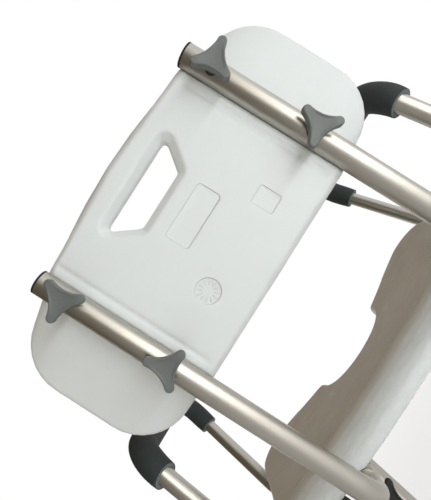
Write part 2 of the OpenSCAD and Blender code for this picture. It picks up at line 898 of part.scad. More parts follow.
// Rubber foot: a ringed cup that flares to a sole, cut level with the floor
module foot(side, end) {
  below = foot_r * tan(splay_side + splay_fore);
  bore_r = leg_d / 2 + fit / 2;
  ring = 1;
  color(rubber) difference() {
    leg_frame(side, end) translate([0, 0, -leg_len]) rotate_extrude() polygon([
      [0, -below], [foot_r, -below], [foot_r, 9], [foot_r - 1.5, 11], [foot_neck_r + 1, 17],
      [foot_neck_r, 20], [foot_neck_r + ring, 21], [foot_neck_r + ring, 24], [foot_neck_r, 25],
      [foot_neck_r, 28], [foot_neck_r + ring, 29], [foot_neck_r + ring, 32], [foot_neck_r, 33],
      [foot_neck_r - 1, foot_h], [bore_r, foot_h], [bore_r, tube_end_up - fit], [0, tube_end_up - fit]
    ]);
    below_floor();
  }
}

// Space below the floor
module below_floor() {
  deep = 4 * foot_r;
  translate([-seat_w, -seat_d, -deep]) cube([2 * seat_w, 2 * seat_d, deep]);
}

// Spring button: a domed pin with a flange inside the lower tube
module leg_button(side, end) {
  dome_r = button_d * 0.7;
  pin_r = button_d / 2;
  color(steel) leg_face(side, end, first_hole) {
    intersection() {
      translate([0, 0, button_in]) cylinder(r = pin_r, h = button_out - button_in);
      translate([0, 0, button_out - dome_r]) sphere(dome_r);
    }
    translate([0, 0, button_in]) cylinder(r = pin_r, h = button_out - dome_r - button_in + 0.2);
    translate([0, 0, button_in]) cylinder(r = pin_r + 1, h = 1.2);
  }
}

// Bent strip that pushes the button out from the tube's far wall
module leg_spring(side, end) {
  inner_r = leg_d / 2 - leg_wall;
  near = button_in - fit;
  far = -sqrt(pow(inner_r, 2) - pow(spring_w / 2, 2)) + fit;
  bend = (near - far) / 2;
  color(steel) leg_face(side, end, first_hole) rotate([0, 90, end == REAR ? 180 : 0])
    translate([0, 0, -spring_w / 2]) linear_extrude(spring_w) difference() {
      union() {
        translate([-near, -spring_len]) square([near - far, spring_len + button_d / 2]);
        translate([-(near + far) / 2, -spring_len]) circle(bend);
      }
      translate([-near + spring_t, -spring_len]) square([near - far - 2 * spring_t, 2 * spring_len]);
      translate([-(near + far) / 2, -spring_len]) circle(bend - spring_t);
    }
}

module leg_knob(side, end) {
  seat_at = sleeve_r + boss_out + run;
  color(black) leg_face(side, end, knob_drop) difference() {
    translate([0, 0, seat_at]) rotate(90 + 15 * side) knob_head(leg_knob_r);
    translate([0, 0, seat_at - past]) cylinder(d = stud_d, h = knob_t / 2 + past);
  }
}

module leg_stud(side, end) {
  tip = leg_upper_d / 2 - 4;
  top = sleeve_r + boss_out + run + knob_t / 2;
  color(steel) leg_face(side, end, knob_drop) translate([0, 0, tip]) cylinder(d = stud_d, h = top - tip);
}

seat();
rail(LEFT);  // rail_left
rail(RIGHT);  // rail_right
cross_tube();
arm_socket(LEFT, REAR);  // arm_socket_rear_left
arm_socket(RIGHT, REAR);  // arm_socket_rear_right
arm_socket(LEFT, FRONT);  // arm_socket_front_left
arm_socket(RIGHT, FRONT);  // arm_socket_front_right
tube_saddles();
seat_bolts();
tube_plugs();
leg_sockets();
leg_collars();
leg_upper(LEFT, REAR);  // leg_upper_rear_left
leg_upper(RIGHT, REAR);  // leg_upper_rear_right
leg_upper(LEFT, FRONT);  // leg_upper_front_left
leg_upper(RIGHT, FRONT);  // leg_upper_front_right
leg_lower(LEFT, REAR);  // leg_lower_rear_left
leg_lower(RIGHT, REAR);  // leg_lower_rear_right
leg_lower(LEFT, FRONT);  // leg_lower_front_left
leg_lower(RIGHT, FRONT);  // leg_lower_front_right
foot(LEFT, REAR);  // foot_rear_left
foot(RIGHT, REAR);  // foot_rear_right
foot(LEFT, FRONT);  // foot_front_left
foot(RIGHT, FRONT);  // foot_front_right
leg_button(LEFT, REAR);  // leg_button_rear_left
leg_button(RIGHT, REAR);  // leg_button_rear_right
leg_button(LEFT, FRONT);  // leg_button_front_left
leg_button(RIGHT, FRONT);  // leg_button_front_right
leg_spring(LEFT, REAR);  // leg_spring_rear_left
leg_spring(RIGHT, REAR);  // leg_spring_rear_right
leg_spring(LEFT, FRONT);  // leg_spring_front_left
leg_spring(RIGHT, FRONT);  // leg_spring_front_right
leg_knob(LEFT, REAR);  // leg_knob_rear_left
leg_knob(RIGHT, REAR);  // leg_knob_rear_right
leg_knob(LEFT, FRONT);  // leg_knob_front_left
leg_knob(RIGHT, FRONT);  // leg_knob_front_right
leg_stud(LEFT, REAR);  // leg_stud_rear_left
leg_stud(RIGHT, REAR);  // leg_stud_rear_right
leg_stud(LEFT, FRONT);  // leg_stud_front_left
leg_stud(RIGHT, FRONT);  // leg_stud_front_right
back_tube(LEFT);  // back_tube_left
back_tube(RIGHT);  // back_tube_right
back_caps();
back_panel();
panel_inserts();
back_knob(LEFT, knob_rows[1], turn_upper_left);  // back_knob_upper_left
back_knob(RIGHT, knob_rows[1], turn_upper_right);  // back_knob_upper_right
back_knob(LEFT, knob_rows[0], turn_lower_left);  // back_knob_lower_left
back_knob(RIGHT, knob_rows[0], turn_lower_right);  // back_knob_lower_right
back_stud(LEFT, knob_rows[1]);  // back_stud_upper_left
back_stud(RIGHT, knob_rows[1]);  // back_stud_upper_right
back_stud(LEFT, knob_rows[0]);  // back_stud_lower_left
back_stud(RIGHT, knob_rows[0]);  // back_stud_lower_right
arm_tube(LEFT);  // arm_tube_left
arm_tube(RIGHT);  // arm_tube_right
arm_grip(LEFT);  // arm_grip_left
arm_grip(RIGHT);  // arm_grip_right
arm_screws();
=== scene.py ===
import json
import math

import bmesh
import bpy
from mathutils import Matrix, Vector


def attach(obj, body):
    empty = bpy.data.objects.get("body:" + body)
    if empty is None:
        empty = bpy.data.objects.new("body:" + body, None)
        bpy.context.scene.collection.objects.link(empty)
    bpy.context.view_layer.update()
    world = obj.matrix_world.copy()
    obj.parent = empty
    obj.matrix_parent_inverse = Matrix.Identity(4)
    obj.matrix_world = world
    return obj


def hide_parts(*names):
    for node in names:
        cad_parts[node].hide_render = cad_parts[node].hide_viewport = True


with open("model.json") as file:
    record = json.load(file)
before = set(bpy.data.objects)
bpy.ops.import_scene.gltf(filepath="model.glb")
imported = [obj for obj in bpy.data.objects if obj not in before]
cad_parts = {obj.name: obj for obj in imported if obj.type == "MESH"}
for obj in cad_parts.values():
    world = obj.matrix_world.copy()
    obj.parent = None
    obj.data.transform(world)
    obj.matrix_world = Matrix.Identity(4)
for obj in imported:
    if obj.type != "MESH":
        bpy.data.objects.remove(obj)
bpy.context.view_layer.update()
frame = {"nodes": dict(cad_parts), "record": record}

# Driving sizes in metres, as in the CAD source
SEAT_TOP = 0.430
SEAT_UNDER = 0.400
SEAT_HALF = 0.252
SEAT_REAR = 0.1318
SEAT_FRONT = SEAT_REAR - 0.322
SEAT_ROLL = 0.056
SEAT_BOW = 0.020
SEAT_CORNER = 0.212
CUTOUT_CORNER = (0.077, -0.121)
CUTOUT_ROUND = 0.042
TUBE_Y = SEAT_REAR + 0.042
TUBE_X = 0.131
RECLINE = math.radians(8)
PANEL_LIFT = 0.160
BACK_TUBE = 0.025
BACK_BEND = 0.038
TUBE_TOP = 0.3525
TUBE_HOLE = 0.0085
RAIL_Z = 0.392
BACK_TUBE_END = 0.0798
KNOB_HEIGHTS = {"upper": 0.162, "lower": 0.048}
KNOB_THICK = 0.008
BACK_KNOB_R = 0.0225
LEG_KNOB_R = 0.019
ARM_TUBE = 0.022
ARM_BEND = 0.038
ARM_TOP = SEAT_TOP + 0.187
ARM_LEAN = math.radians(4)
ARM_SLANT = math.radians(22)
ARM_SIDE = SEAT_HALF + 0.004 + ARM_TUBE / 2
ARM_REAR = SEAT_REAR - 0.019
ARM_FRONT = SEAT_FRONT + 0.017
ARM_LOW = 0.3625
ARM_END = 0.171
GRIP = 0.036
LEG_TOP = 0.372
LEG_Y = {"rear": 0.0718, "front": -0.08993}
LEG_KNOB_DROP = 0.021
SPLAY_SIDE = math.radians(10)
SPLAY_FORE = math.radians(11)
SIDES = {"left": 1, "right": -1}
ENDS = {"rear": 1, "front": -1}
ROUND_STEPS = 40

# Moulded places on the panel's rear, in millimetres across from its middle and up from its lower edge
PLATE = {"across": -3, "up": 103, "wide": 62, "high": 26, "corner": 4}
SQUARE = {"across": -55, "up": 51.5, "wide": 20, "high": 24, "corner": 2}
ROUND_ACROSS, ROUND_UP, ROUND_R = 51, 51.5, 13
TICKS, TICK_FROM, TICK_TO = 12, 6, 11

# Colour of the seat's and the panel's plastic
WHITE = (0.80, 0.81, 0.81)

# The camera of the photograph: a portrait frame whose middle is off the lens axis
IMAGE = (431, 500)
FOCAL_PIXELS = 418.1
AXIS_PIXELS = (182.0, 279.6)
CAMERA_AT = (0.060, 0.6056, 0.6041)
CAMERA_TURN = [math.radians(a) for a in (0.7, 8.9, -57.7)]


def make_camera():
    yaw, pitch, roll = CAMERA_TURN
    data = bpy.data.cameras.new("camera")
    data.sensor_width = 36
    data.lens = FOCAL_PIXELS / IMAGE[1] * data.sensor_width
    data.shift_x = (IMAGE[0] / 2 - AXIS_PIXELS[0]) / IMAGE[1]
    data.shift_y = (AXIS_PIXELS[1] - IMAGE[1] / 2) / IMAGE[1]
    data.clip_start = 0.01
    camera = bpy.data.objects.new("camera", data)
    turn = Matrix.Rotation(math.pi - yaw, 4, "Z")
    turn = turn @ Matrix.Rotation(math.pi / 2 + pitch, 4, "X") @ Matrix.Rotation(roll, 4, "Z")
    camera.matrix_world = Matrix.Translation(CAMERA_AT) @ turn
    bpy.context.scene.collection.objects.link(camera)
    bpy.context.scene.camera = camera


# Node trees
class Value:
    """A socket in a node tree. Arithmetic on it adds the nodes for it."""

    def __init__(self, nodes, socket):
        self.nodes = nodes
        self.socket = socket

    def maths(self, operation, *others):
        return self.nodes.node("ShaderNodeMath", enumerate([self, *others]), operation=operation)

    def __add__(self, other):
        return self.maths("ADD", other)

    def __sub__(self, other):
        return self.maths("SUBTRACT", other)

    def __mul__(self, other):
        return self.maths("MULTIPLY", other)

    __radd__ = __add__
    __rmul__ = __mul__

    def __rsub__(self, other):
        return self * -1 + other

    def __abs__(self):
        return self.maths("ABSOLUTE")

    def max(self, other):
        return self.maths("MAXIMUM", other)

    def root(self):
        return self.maths("SQRT")

    def sine(self):
        return self.maths("SINE")

    def rise(self, low, high):
        """0 up to low, 1 from high on, and smooth between them."""
        limits = [(0, self), (1, low), (2, high), (3, 0), (4, 1)]
        return self.nodes.node("ShaderNodeMapRange", limits, interpolation_type="SMOOTHSTEP")


class Nodes:
    """A node tree, of a material, the world or a shape, and the nodes in it."""

    def __init__(self, tree):
        self.tree = tree
        self.tree.nodes.clear()

    def node(self, kind, inputs=(), out=0, **settings):
        made = self.tree.nodes.new(kind)
        for name, value in settings.items():
            setattr(made, name, value)
        for key, value in inputs:
            if isinstance(value, Value):
                self.tree.links.new(value.socket, made.inputs[key])
            else:
                made.inputs[key].default_value = value
        return Value(self, made.outputs[out])

    def place(self):
        """Object coordinates, which at rest are the chair's own."""
        return self.node("ShaderNodeTexCoord", out="Object")

    def axes(self, vector):
        made = self.node("ShaderNodeSeparateXYZ", [(0, vector)]).socket.node
        return [Value(self, s) for s in made.outputs]

    def stretched(self, scale):
        return self.node("ShaderNodeMapping", [("Vector", self.place()), ("Scale", scale)])

    def noise(self, size, detail=2, vector=None):
        """Noise from 0 to 1 whose features are about that many metres wide."""
        inputs = [("Vector", vector or self.place()), ("Scale", 1 / size), ("Detail", detail)]
        return self.node("ShaderNodeTexNoise", inputs)

    def blend(self, factor, a, b):
        inputs = [(0, factor), (6, a), (7, b)]
        return self.node("ShaderNodeMix", inputs, out=2, data_type="RGBA")

    def bump(self, height, distance):
        return self.node("ShaderNodeBump", [("Height", height), ("Distance", distance)])


def new_look(name):
    made = bpy.data.materials.new(name)
    made.use_nodes = True
    return Nodes(made.node_tree)


def material(name, look, colour, roughness, bump, metallic=0.0, **constants):
    """The finished material of a look. Names in constants are sockets, with _ for a space."""
    inputs = [("Base Color", colour), ("Roughness", roughness), ("Metallic", metallic), ("Normal", bump)]
    inputs += [(key.replace("_", " "), value) for key, value in constants.items()]
    surface = look.node("ShaderNodeBsdfPrincipled", inputs)
    output = look.tree.nodes.new("ShaderNodeOutputMaterial")
    look.tree.links.new(surface.socket, output.inputs["Surface"])
    return bpy.data.materials[name]


def shade(colour, by):
    return tuple(c * by for c in colour) + (1.0,)


def grained(name, colour, roughness, grain, height):
    """A plain moulded finish: fine grain, and soft drifts of tone and gloss."""
    spread = 0.08
    look = new_look(name)
    fine = look.noise(grain, 3)
    drift = look.noise(0.05, 3)
    tone = look.blend(drift, shade(colour, 1 - spread), shade(colour, 1 + spread))
    gloss = roughness - 0.06 + 0.12 * look.noise(0.012, 4)
    return material(name, look, tone, gloss, look.bump(fine, height))


def moulded_white(name, marks, streaks=0.0):
    """Satin blow-moulded plastic with a fine grain, faint drifts of gloss and streaks of tone."""
    look = new_look(name)
    drift = look.noise(0.07, 3) * 0.5 + look.noise(0.005, 3, look.stretched((0.3, 1, 1))) * 0.5
    tone = look.blend(drift, shade(WHITE, 0.97 - streaks), shade(WHITE, 1.02 + streaks))
    height = look.noise(0.0009, 3) * 0.06 + look.noise(0.055, 1) * 0.9
    height = height + marks(look)
    gloss = 0.40 + 0.10 * look.noise(0.02, 4)
    return material(name, look, tone, gloss, look.bump(height, 0.001), Specular_IOR_Level=0.3)


def seat_marks(look):
    """Heights in millimetres on the seat: a full roll and a ridge along its rear, and a coarse grain."""
    round_until, fullness = 35, 0.0085
    ridge_at, ridge_slope, ridge_high = -9, 0.3, 0.8
    x, y = look.axes(look.place())[:2]
    bow = SEAT_BOW / SEAT_CORNER ** 2
    behind = (y + x * x * bow - (SEAT_REAR - SEAT_ROLL)) * 1000
    roll = behind.max(0)
    curved = round_until - (round_until - roll).max(0)
    drop = curved * (roll * 2 - curved) * fullness
    ridge = (1 - abs(behind - ridge_at) * ridge_slope).max(0) * ridge_high
    return ridge - drop + look.noise(0.007, 3) * 0.3


def panel_marks(look):
    """Heights in millimetres of the moulded places on the panel's rear: a plate, a square, a round."""
    x, y, z = look.axes(look.place())
    back, lift = y - TUBE_Y, z - SEAT_TOP
    u = x * 1000
    v = (back * math.sin(RECLINE) + lift * math.cos(RECLINE) - PANEL_LIFT) * 1000
    rear = (back * math.cos(RECLINE) - lift * math.sin(RECLINE)).rise(-0.018, -0.016)

    def boxed(across, up, wide, high, corner):
        dx = (abs(u - across) - (wide / 2 - corner)).max(0)
        dy = (abs(v - up) - (high / 2 - corner)).max(0)
        return (dx * dx + dy * dy).root() - corner

    def edge(distance, deep):
        return distance.rise(-0.5, 0.5) * deep

    dx, dy = u - ROUND_ACROSS, v - ROUND_UP
    out = (dx * dx + dy * dy).root()
    angle = look.node("ShaderNodeMath", [(0, dy), (1, dx)], operation="ARCTAN2")
    ticks = (angle * TICKS).sine().rise(0.2, 0.7)
    ticks = ticks * out.rise(TICK_FROM, TICK_FROM + 0.6) * (1 - out.rise(TICK_TO - 0.6, TICK_TO))
    edges = edge(boxed(**PLATE), 0.9) + edge(boxed(**SQUARE), 0.7) + edge(out - ROUND_R, 0.8)
    return (edges + ticks * 0.55) * rear


def metal(name, colour, roughness, grain):
    """Satin metal with fine grain and soft cloudy gloss."""
    look = new_look(name)
    drift = look.noise(0.03, 4)
    tone = look.blend(drift, shade(colour, 0.94), shade(colour, 1.05))
    gloss = roughness - 0.05 + 0.1 * look.noise(0.008, 4)
    bump = look.bump(look.noise(grain, 2), 0.000006)
    return material(name, look, tone, gloss, bump, metallic=1.0)


def foam_look(name):
    """Closed-cell foam: fine turned ridges along the grip, pores and a pale cut end."""
    look = new_look(name)
    along = look.node("ShaderNodeAttribute", out="Fac", attribute_name="along")
    end = look.node("ShaderNodeAttribute", out="Fac", attribute_name="cut")
    ridges = (along * (2 * math.pi / 0.0016)).sine() * 0.5 + 0.5
    pores = look.noise(0.0011, 3)
    skin = look.blend(look.noise(0.03, 3), (0.020, 0.026, 0.027, 1), (0.036, 0.044, 0.045, 1))
    tone = look.blend(end, skin, (0.17, 0.20, 0.20, 1))
    bump = look.bump(ridges * 0.35 + pores, 0.00012)
    return material(name, look, tone, 0.72 + 0.12 * pores, bump)


# Meshes
def piece(name, mesh, look, body, slot, *nodes):
    """Puts a finished mesh in the scene as a piece that stands for CAD nodes."""
    obj = bpy.data.objects.new(name, mesh)
    bpy.context.scene.collection.objects.link(obj)
    mesh.materials.clear()
    mesh.materials.append(look)
    mesh.shade_smooth()
    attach(obj, body)
    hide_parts(*nodes)
    return obj


def plain_mesh(obj):
    """The mesh that an object's modifiers make. The object itself goes."""
    bpy.context.scene.collection.objects.link(obj)
    mesh = bpy.data.meshes.new_from_object(obj.evaluated_get(bpy.context.evaluated_depsgraph_get()))
    bpy.data.objects.remove(obj)
    return mesh


def softened(node, voxel, rounds):
    """A copy of a CAD node's mesh with its edges softened as a blow moulding's are."""
    mesh = frame["nodes"][node].data.copy()
    work = bmesh.new()
    work.from_mesh(mesh)
    bmesh.ops.remove_doubles(work, verts=work.verts, dist=1e-6)
    work.to_mesh(mesh)
    work.free()
    obj = bpy.data.objects.new("softening", mesh)
    remesh = obj.modifiers.new("remesh", "REMESH")
    remesh.mode = "VOXEL"
    remesh.voxel_size = voxel
    smooth = obj.modifiers.new("smooth", "SMOOTH")
    smooth.factor = 0.5
    smooth.iterations = rounds
    return plain_mesh(obj)


def round_corners(mesh, corners, reach):
    """Rounds the mesh near upright lines through the corners, less with distance from them."""
    rounds = 30
    work = bmesh.new()
    work.from_mesh(mesh)
    for share in (1.0, 0.8, 0.6):
        near = [v for v in work.verts if min((v.co.xy - c).length for c in corners) < reach * share]
        for _ in range(rounds):
            bmesh.ops.smooth_vert(work, verts=near, factor=0.5, use_axis_x=True, use_axis_y=True)
    work.to_mesh(mesh)
    work.free()
    return mesh


def loft(name, rings, joined=False):
    """A closed mesh through rings of the same number of points. Its ends join or get a face each."""
    count = len(rings[0])
    points = [p for ring in rings for p in ring]
    faces = []
    for r in range(len(rings) if joined else len(rings) - 1):
        here = r * count
        there = (r + 1) % len(rings) * count
        for i in range(count):
            j = (i + 1) % count
            faces.append((here + i, here + j, there + j, there + i))
    if not joined:
        faces.append(tuple(reversed(range(count))))
        faces.append(tuple(range(len(points) - count, len(points))))
    mesh = bpy.data.meshes.new(name)
    mesh.from_pydata([tuple(p) for p in points], [], faces)
    return outward(mesh)


def outward(mesh):
    """Turns the mesh's faces outwards."""
    work = bmesh.new()
    work.from_mesh(mesh)
    bmesh.ops.recalc_face_normals(work, faces=work.faces)
    work.to_mesh(mesh)
    work.free()
    return mesh


def bar_tree():
    """Nodes that sweep a round bar along a line of corners, with a round bend at each corner."""
    kinds = {"Line": "Geometry", "Bend": "Float", "Step": "Float", "Radius": "Float", "Sides": "Int",
             "Finish": "Material"}
    tree = bpy.data.node_groups.new("round_bar", "GeometryNodeTree")
    for name, kind in kinds.items():
        tree.interface.new_socket(name, in_out="INPUT", socket_type="NodeSocket" + kind)
    tree.interface.new_socket("Bar", in_out="OUTPUT", socket_type="NodeSocketGeometry")
    shape = Nodes(tree)
    sockets = shape.node("NodeGroupInput").socket.node.outputs
    given = {name: Value(shape, sockets[name]) for name in kinds}
    line = shape.node("GeometryNodeMeshToCurve", [("Mesh", given["Line"])])
    bends = [("Curve", line), ("Count", ROUND_STEPS), ("Radius", given["Bend"])]
    line = shape.node("GeometryNodeFilletCurve", bends, mode="POLY")
    steps = [("Curve", line), ("Length", given["Step"])]
    line = shape.node("GeometryNodeResampleCurve", steps, mode="LENGTH")
    ring = [("Resolution", given["Sides"]), ("Radius", given["Radius"])]
    ring = shape.node("GeometryNodeCurvePrimitiveCircle", ring)
    bar = [("Curve", line), ("Profile Curve", ring), ("Fill Caps", True)]
    bar = shape.node("GeometryNodeCurveToMesh", bar)
    bar = shape.node("GeometryNodeRealizeInstances", [("Geometry", bar)])
    bar = shape.node("GeometryNodeSetMaterial", [("Geometry", bar), ("Material", given["Finish"])])
    output = tree.nodes.new("NodeGroupOutput")
    tree.links.new(bar.socket, output.inputs["Bar"])
    return tree


def bar_mesh(name, corners, **sizes):
    """A round bar along the corners. The sizes are the tree's inputs."""
    line = bpy.data.meshes.new(name)
    line.from_pydata([tuple(c) for c in corners], [(i, i + 1) for i in range(len(corners) - 1)], [])
    obj = bpy.data.objects.new(name, line)
    bar = obj.modifiers.new("bar", "NODES")
    bar.node_group = BAR
    for socket in BAR.interface.items_tree:
        if socket.name in sizes:
            bar[socket.identifier] = sizes[socket.name]
    return outward(plain_mesh(obj))


def bent_path(points, radius, step):
    """Points along a path of straight lengths with round bends, about a step apart."""
    out = [points[0]]
    for i in range(1, len(points) - 1):
        p, u, w = points[i], points[i] - points[i - 1], points[i + 1] - points[i]
        u, w = u.normalized(), w.normalized()
        angle = u.angle(w)
        trim = radius * math.tan(angle / 2)
        inward = (w - u * u.dot(w)).normalized()
        centre = p - u * trim + inward * radius
        turns = max(2, round(radius * angle / step))
        for k in range(turns + 1):
            a = angle * k / turns
            out.append(centre - inward * radius * math.cos(a) + u * radius * math.sin(a))
    out.append(points[-1])
    dense = [out[0]]
    for a, b in zip(out, out[1:]):
        parts = max(1, round((b - a).length / step))
        dense += [a.lerp(b, k / parts) for k in range(1, parts + 1)]
    return dense


def path_frames(path):
    """Each point of a path, two directions across the path there, and the distance along it."""
    frames, gone, across = [], 0.0, None
    for i, p in enumerate(path):
        ahead = (path[min(i + 1, len(path) - 1)] - path[max(i - 1, 0)]).normalized()
        if across is None:
            across = ahead.orthogonal()
        else:
            gone += (p - path[i - 1]).length
        across = (across - ahead * across.dot(ahead)).normalized()
        frames.append((p, across, ahead.cross(across), gone))
    return frames


def sleeve(name, path, radius_at, bore):
    """A sleeve along a path, and how far along each of its points is. radius_at gives its outer radii."""
    frames = path_frames(path)
    stations = [(spot, r) for spot in frames for r in radius_at(spot[-1])]
    stations += [(spot, bore) for spot in reversed(frames)]
    angles = [2 * math.pi * k / ROUND_STEPS for k in range(ROUND_STEPS)]
    rings, along = [], []
    for (p, across, aside, gone), r in stations:
        rings.append([p + (across * math.cos(a) + aside * math.sin(a)) * r for a in angles])
        along += [gone] * ROUND_STEPS
    return loft(name, rings, joined=True), along


def arm_x(z):
    return ARM_SIDE - (z - SEAT_UNDER) * math.tan(ARM_LEAN)


def arm_y(z):
    return ARM_FRONT - (z - SEAT_TOP) * math.tan(ARM_SLANT)


def arm_path(s):
    """The arm hoop's corners and ends, from its rear socket to its front one."""
    return [
        Vector((s * ARM_END, ARM_REAR, ARM_LOW)),
        Vector((s * arm_x(ARM_LOW), ARM_REAR, ARM_LOW)),
        Vector((s * arm_x(ARM_TOP), ARM_REAR, ARM_TOP)),
        Vector((s * arm_x(ARM_TOP), arm_y(ARM_TOP), ARM_TOP)),
        Vector((s * arm_x(ARM_LOW), arm_y(ARM_LOW), ARM_LOW)),
        Vector((s * ARM_END, arm_y(ARM_LOW), ARM_LOW)),
    ]


def make_arm_tube(side):
    finish = LOOKS["aluminium"]
    mesh = bar_mesh("arm_tube_" + side, arm_path(SIDES[side]), Bend=ARM_BEND, Step=0.003,
                    Radius=ARM_TUBE / 2, Sides=ROUND_STEPS, Finish=finish)
    piece("arm_hoop_" + side, mesh, finish, "frame", "aluminium", "arm_tube_" + side)


def bored(mesh, places, radius):
    """The mesh with a round hole cut in it from each place, along the place's Z."""
    bottom = 0.002
    cutter = bmesh.new()
    for place in places:
        at = place @ Matrix.Translation((0, 0, bottom + BACK_TUBE / 2))
        bmesh.ops.create_cone(cutter, cap_ends=True, segments=48, radius1=radius, radius2=radius,
                              depth=BACK_TUBE, matrix=at)
    cut_mesh = bpy.data.meshes.new("cutter")
    cutter.to_mesh(cut_mesh)
    cutter.free()
    drill = bpy.data.objects.new("drill", cut_mesh)
    bpy.context.scene.collection.objects.link(drill)
    obj = bpy.data.objects.new("bored", mesh)
    cut = obj.modifiers.new("bore", "BOOLEAN")
    cut.object = drill
    cut.operation = "DIFFERENCE"
    made = plain_mesh(obj)
    bpy.data.objects.remove(drill)
    return made


def make_back_tube(side):
    out = Vector((SIDES[side] * TUBE_X, TUBE_Y, SEAT_TOP))
    lean = Vector((0, math.sin(RECLINE), math.cos(RECLINE)))
    top = out + lean * TUBE_TOP
    foot = out + lean * ((RAIL_Z - SEAT_TOP) / lean.z)
    end = Vector((out.x, BACK_TUBE_END, RAIL_Z))
    finish = LOOKS["aluminium"]
    mesh = bar_mesh("back_tube_" + side, [top, foot, end], Bend=BACK_BEND, Step=0.004,
                    Radius=BACK_TUBE / 2, Sides=48, Finish=finish)
    mesh = bored(mesh, [back_place(side, h) for h in KNOB_HEIGHTS.values()], TUBE_HOLE)
    obj = piece("back_hoop_" + side, mesh, finish, "frame", "aluminium", "back_tube_" + side)
    # The edges of holes and ends stay sharp
    obj.data.set_sharp_from_angle(angle=math.radians(40))


def slant_end(mesh, along, path, facing):
    """Turns the cut face at the start of a grip to the side it faces, as foam does when pushed on."""
    ahead = (path[1] - path[0]).normalized()
    facing = (facing - ahead * facing.dot(ahead)).normalized()
    slant, depth = math.tan(math.radians(28)), 0.03
    for v, gone in zip(mesh.vertices, along):
        if gone < depth:
            v.co += ahead * (v.co - path[0]).dot(facing) * slant * (1 - gone / depth)


def make_grip(side):
    p = arm_path(SIDES[side])
    rear_drop, front_drop = 0.042, 0.086
    start = p[2] + (p[1] - p[2]).normalized() * rear_drop
    stop = p[3] + (p[4] - p[3]).normalized() * front_drop
    path = bent_path([start, p[2], p[3], stop], ARM_BEND, 0.003)
    length = sum((b - a).length for a, b in zip(path, path[1:]))
    bore = ARM_TUBE / 2 + 0.0002
    lip = bore + 0.0003
    taper, taper_deep, nose = 0.030, 0.0012, 0.0015

    def radius_at(gone):
        edge = min(gone, length - gone)
        r = GRIP / 2 - taper_deep * max(0, 1 - edge / taper) ** 2
        if gone <= 1e-9:
            return [lip, r - nose, r]
        if length - gone <= 1e-9:
            return [r, r - nose, lip]
        return [r]

    mesh, along = sleeve("grip_" + side, path, radius_at, bore)
    slant_end(mesh, along, path, Vector((-SIDES[side] * 0.45, 1, 0)))
    # Two rings of the cut face come first, then the skin's, then the other cut face's and the bore's
    cut = [1.0] * (2 * ROUND_STEPS) + [0.0] * (len(path) * ROUND_STEPS)
    cut += [1.0] * (len(along) - len(cut))
    for name, values in {"along": along, "cut": cut}.items():
        mesh.attributes.new(name, "FLOAT", "POINT").data.foreach_set("value", values)
    obj = piece("foam_grip_" + side, mesh, FOAM, "frame", "foam_grip", "arm_grip_" + side)


def lobed_outline(r, count):
    """Points round a three-lobed knob, with the direction out of its edge at each."""
    tip, waist = 0.2 * r, 0.45 * r
    arm = r - tip
    hollow = (arm ** 2 - (tip - waist) ** 2) / (arm + 2 * (tip - waist))
    hollow_r = hollow - waist
    reach = math.atan2(hollow * math.sin(math.pi / 3), hollow * math.cos(math.pi / 3) - arm)
    points = []
    for lobe in range(3):
        turn = Matrix.Rotation(lobe * 2 * math.pi / 3, 2)
        for k in range(count):
            a = reach * (2 * k / count - 1)
            out = Vector((math.cos(a), math.sin(a)))
            points.append((turn @ (Vector((arm, 0)) + out * tip), turn @ out))
        middle = Vector((math.cos(math.pi / 3), math.sin(math.pi / 3))) * hollow
        for k in range(count):
            a = 4 * math.pi / 3 + (reach - math.pi / 3) * (1 - 2 * k / count)
            out = Vector((math.cos(a), math.sin(a)))
            points.append((turn @ (middle + out * hollow_r), turn @ -out))
    return points


def knob_mesh(name, r, thick, place, boss=None):
    """A lobed knob head with rounded edges and a dished top, on a round boss where one is given."""
    outline = lobed_outline(r, 16)
    round_low, round_top, dish, dish_r = 0.0008, 0.0016, 0.0016, 0.65 * r
    rings = []
    for k in range(4):
        a = math.pi / 2 * k / 3
        rings.append((round_low * (1 - math.sin(a)), round_low * (1 - math.cos(a)), 1.0))
    for k in range(6):
        a = math.pi / 2 * k / 5
        rings.append((round_top * (1 - math.cos(a)), thick - round_top * (1 - math.sin(a)), 1.0))
    rings += [(round_top, thick, 1 - k / 9) for k in range(1, 9)]
    made = []
    for inset, z, share in rings:
        ring = []
        for p, out in outline:
            q = (p - out * inset) * share
            low = dish * max(0, 1 - (q.length / dish_r) ** 2) if share < 1 else 0
            ring.append(place @ Vector((q.x, q.y, z - low)))
        made.append(ring)
    mesh = loft(name, made)
    if boss:
        boss_r, boss_from = boss
        work = bmesh.new()
        work.from_mesh(mesh)
        at = place @ Matrix.Translation((0, 0, boss_from / 2))
        bmesh.ops.create_cone(work, cap_ends=True, segments=32, radius1=boss_r, radius2=boss_r,
                              depth=-boss_from, matrix=at)
        work.to_mesh(mesh)
        work.free()
    return mesh


def back_place(side, height):
    """Frame at a backrest knob: Z to the rear from the tube's axis, Y down the tube."""
    up = Vector((0, math.sin(RECLINE), math.cos(RECLINE)))
    at = Vector((SIDES[side] * TUBE_X, TUBE_Y, SEAT_TOP)) + up * (PANEL_LIFT + height)
    return Matrix.Translation(at) @ Matrix.Rotation(-RECLINE - math.pi / 2, 4, "X")


def leg_place(side, end, drop):
    """Frame on a leg's axis: Z out of the leg's outer face."""
    s, e = SIDES[side], ENDS[end]
    at = Matrix.Translation((s * TUBE_X, LEG_Y[end], LEG_TOP))
    splay = Matrix.Rotation(-s * SPLAY_SIDE, 4, "Y") @ Matrix.Rotation(e * SPLAY_FORE, 4, "X")
    return at @ splay @ Matrix.Translation((0, 0, -drop)) @ Matrix.Rotation(-e * math.pi / 2, 4, "X")


